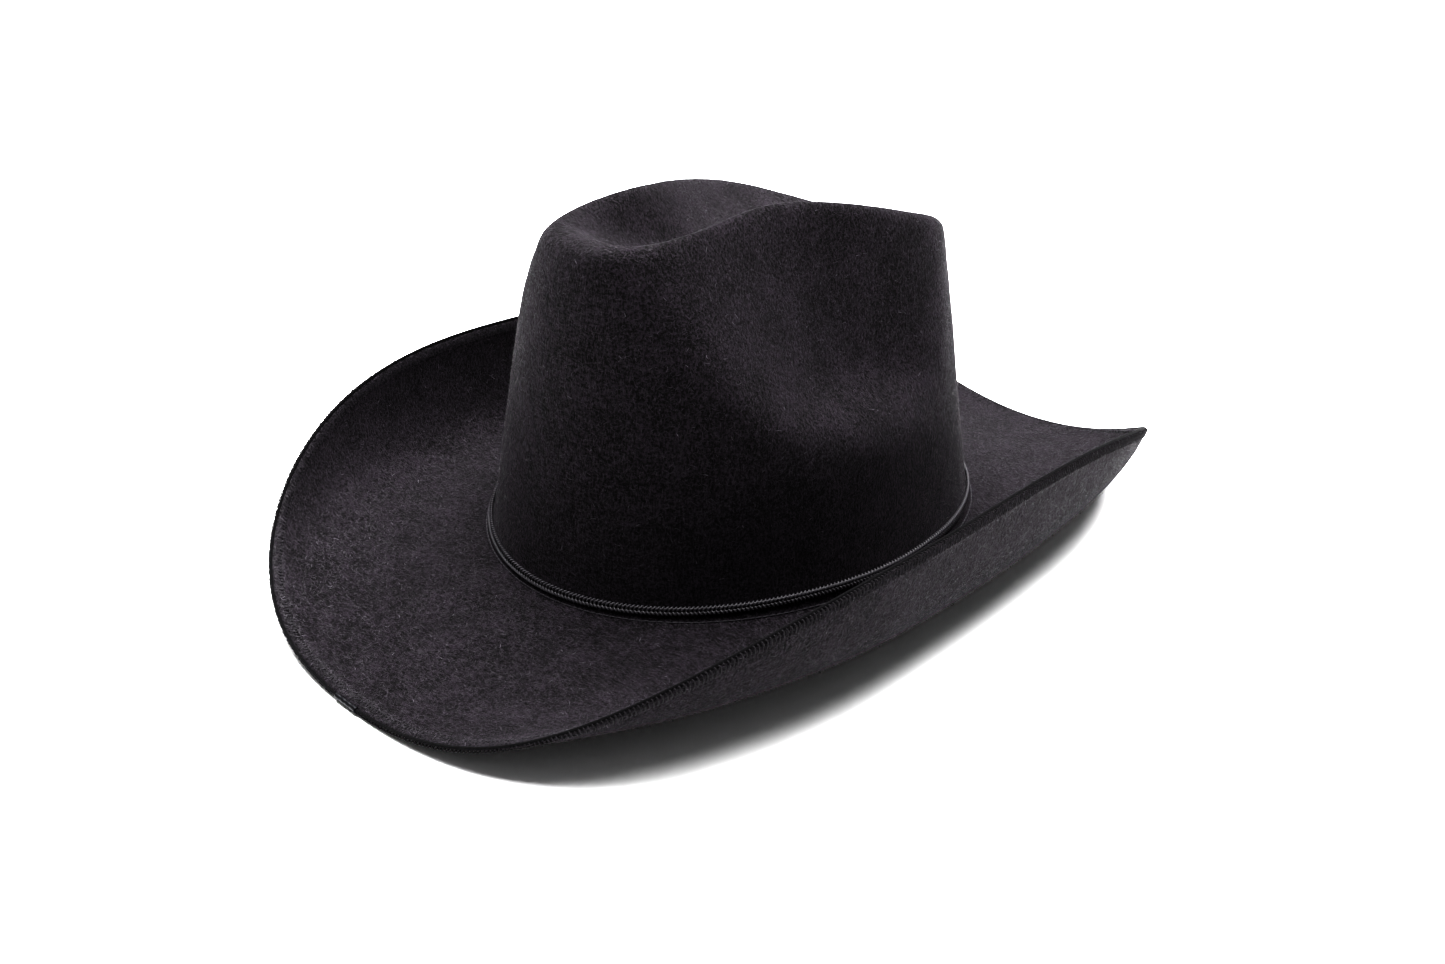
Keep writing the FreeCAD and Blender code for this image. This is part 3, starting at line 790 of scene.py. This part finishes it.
class HAT_OT_sweatband(Operator):
    """Grosgrain sweatband inside the crown, its stitches at the break and its blank label"""
    bl_idname = "hat.sweatband"
    bl_label = "Sweatband"

    def execute(self, context):
        sizes, colours = context.scene.hat_sizes, context.scene.hat_colours
        low, high = SWEATBAND_START, SWEATBAND_START + SWEATBAND_WIDTH
        near = FELT + SOFT_GAP
        count = 216
        heights = [low + (high - low) * k / 14 for k in range(15)]
        rings = []
        for face in (0, 1):
            for height in (heights if face == 0 else heights[::-1]):
                share = (height - low) / (high - low)
                rings.append([self.band_point(COLUMNS * j / count, height, share, near, face)
                              for j in range(count)])
        mesh = ring_mesh("sweatband_web", rings, closed=True)
        flow = mesh.uv_layers.new(name="weave")
        for polygon in mesh.polygons:
            middle = polygon.center
            base = math.atan2(middle.x, -(middle.y - CROWN_SHIFT * MM))
            for k in polygon.loop_indices:
                point = mesh.vertices[mesh.loops[k].vertex_index].co
                angle = math.atan2(point.x, -(point.y - CROWN_SHIFT * MM))
                angle = base + (angle - base + math.pi) % TURN - math.pi
                flow.data[k].uv = (angle * 0.088, point.z)
        show("sweatband_web", mesh, "sweatband")
        mesh.materials.append(ribbed_material("grosgrain_ribbon", colours.sweatband, 1.0))
        thread = thread_material("sweatband_thread_spun", srgb("#343236"), 0.5, 3000.0)
        # row of stitches at the corner of the break
        row = BREAK_ROW + 0.27
        frames = []
        for column in even_columns(lambda column: row, sizes.stitch_pitch / MM):
            point, down, around, normal = felt_frame(column, row)
            frames.append((point, around, down, normal))
        run = 0.5 * sizes.stitch_pitch / MM
        path = [Vector((run * a, 0.0, up)) * MM
                for a, up in ((-0.92, -0.15), (-0.75, 0.15), (-0.3, 0.3),
                              (0.3, 0.3), (0.75, 0.15), (0.92, -0.15))]
        mesh = lay(ring_mesh("break_stitches", thread_rows(path, 0.24 * MM), caps=True), frames)
        show("break_stitches", mesh, "sweatband_thread")
        mesh.materials.append(thread)
        self.label(colours)
        return {"FINISHED"}

    @staticmethod
    def band_point(column, height, share, near, face):
        wave = 0.25 * noise.noise(Vector((column * 0.7, 0.0, 3.0)))
        lift = max(0.0, share - 0.5) * 0.8 * (1.0 + 0.5 * math.sin(column * 0.9))
        edge = 0.25 * SWEATBAND_THICKNESS if share in (0.0, 1.0) else 0.0
        depth = near + lift + (edge if face == 0 else SWEATBAND_THICKNESS - edge)
        return inside(column, height + wave, depth)

    @staticmethod
    def label(colours):
        """A blank cloth label at the back of the sweatband, bowed a little off it."""
        start = SWEATBAND_START + LABEL_START
        depth = FELT + SOFT_GAP + SWEATBAND_THICKNESS + LABEL_THICKNESS
        bm = bmesh.new()
        bmesh.ops.create_grid(bm, x_segments=32, y_segments=16, size=0.5)
        flow = bm.loops.layers.uv.new("weave")
        for face in bm.faces:
            for loop in face.loops:
                loop[flow].uv = (loop.vert.co.x * LABEL_WIDTH * MM, loop.vert.co.y * LABEL_HEIGHT * MM)
        for vert in bm.verts:
            x, y = vert.co.x, vert.co.y
            column = COLUMNS / 2 + x * LABEL_WIDTH / (TURN * 96.0) * COLUMNS
            lift = 0.5 * (0.5 - abs(y)) * (0.5 + 0.5 * math.cos(x * 5.0)) + 0.25 * (0.5 + y) ** 3
            vert.co = inside(column, start + (y + 0.5) * LABEL_HEIGHT, depth + lift)
        bmesh.ops.recalc_face_normals(bm, faces=bm.faces)
        mesh = bpy.data.meshes.new("blank_label")
        bm.to_mesh(mesh)
        bm.free()
        piece = show("blank_label", mesh, "size_label")
        cloth = piece.modifiers.new("cloth", "SOLIDIFY")
        cloth.thickness, cloth.offset = LABEL_THICKNESS * MM, 0.0
        mesh.materials.append(ribbed_material("woven_satin_label", colours.label, 0.5))


class HAT_OT_stage(Operator):
    """Floor, lights and camera"""
    bl_idname = "hat.stage"
    bl_label = "Stage"

    def execute(self, context):
        scene = context.scene
        bm = bmesh.new()
        bmesh.ops.create_grid(bm, x_segments=1, y_segments=1, size=6.0)
        bmesh.ops.translate(bm, verts=bm.verts, vec=(0, 0, -FLOOR_DROP))
        mesh = bpy.data.meshes.new("floor")
        bm.to_mesh(mesh)
        bm.free()
        floor = bpy.data.objects.new("floor", mesh)
        scene.collection.objects.link(floor)
        material, _, shader = start_material("matt_white_card", Roughness=0.9,
                                                Specular_IOR_Level=0.2)
        shader.inputs["Base Color"].default_value = srgb("#f2f2f2")
        mesh.materials.append(material)
        world = bpy.data.worlds.new("studio")
        world.use_nodes = True
        world.node_tree.nodes["Background"].inputs["Color"].default_value = srgb("#ffffff")
        world.node_tree.nodes["Background"].inputs["Strength"].default_value = 0.4
        scene.world = world
        self.lamp("key_softbox", (0.18, -0.26, 1.6), (0, 0, 0.05), 1.9, 240.0)
        self.camera(scene)
        scene.view_settings.view_transform = "Standard"
        scene.view_settings.look = "High Contrast"
        scene.view_settings.gamma = 0.76        # deepens shaded felt to near black on screen
        return {"FINISHED"}

    @staticmethod
    def lamp(name, place, aim, size, power):
        light = bpy.data.lights.new(name, "AREA")
        light.shape, light.size, light.energy = "SQUARE", size, power
        lamp = bpy.data.objects.new(name, light)
        lamp.location = place
        lamp.rotation_euler = (Vector(aim) - Vector(place)).to_track_quat("-Z", "Y").to_euler()
        bpy.context.scene.collection.objects.link(lamp)

    @staticmethod
    def camera(scene):
        azimuth, elevation, roll = (math.radians(v) for v in (224.408, 26.692, 2.439))
        aim, distance = Vector((0.0019, 0.0078, 0.0254)), 0.674135
        level = math.cos(elevation)
        back = Vector((math.sin(azimuth) * level, -math.cos(azimuth) * level, math.sin(elevation)))
        right = (-back).cross(Vector((0, 0, 1))).normalized()
        up = right.cross(-back)
        right, up = (right * math.cos(roll) + up * math.sin(roll),
                     up * math.cos(roll) - right * math.sin(roll))
        lens = bpy.data.cameras.new("camera")
        lens.sensor_fit, lens.sensor_width = "HORIZONTAL", 36.0
        lens.lens = 1695.259 / 1445.0 * 36.0
        camera = bpy.data.objects.new("camera", lens)
        turn = Matrix((right, up, back)).transposed().to_4x4()
        camera.matrix_world = Matrix.Translation(aim + back * distance) @ turn
        scene.collection.objects.link(camera)
        scene.camera = camera


class HAT_PT_panel(Panel):
    """Lists the hat's pieces"""
    bl_idname = "HAT_PT_panel"
    bl_label = "Western hat"
    bl_space_type = "VIEW_3D"
    bl_region_type = "UI"
    bl_category = "Hat"

    def draw(self, context):
        for group in (context.scene.hat_sizes, context.scene.hat_colours):
            for key in group.__annotations__:
                self.layout.prop(group, key)
        for operator in OPERATORS:
            self.layout.operator(operator.bl_idname)


OPERATORS = (HAT_OT_felt, HAT_OT_edge, HAT_OT_band, HAT_OT_sweatband, HAT_OT_stage)
CLASSES = (HatSizes, HatColours) + OPERATORS + (HAT_PT_panel,)


def register():
    for item in CLASSES:
        bpy.utils.register_class(item)
    bpy.types.Scene.hat_sizes = PointerProperty(type=HatSizes)
    bpy.types.Scene.hat_colours = PointerProperty(type=HatColours)


def unregister():
    del bpy.types.Scene.hat_sizes, bpy.types.Scene.hat_colours
    for item in reversed(CLASSES):
        bpy.utils.unregister_class(item)


def main():
    register()
    bpy.ops.hat.felt()
    bpy.ops.hat.edge()
    bpy.ops.hat.band()
    bpy.ops.hat.sweatband()
    bpy.ops.hat.stage()


if __name__ == "__main__":
    main()
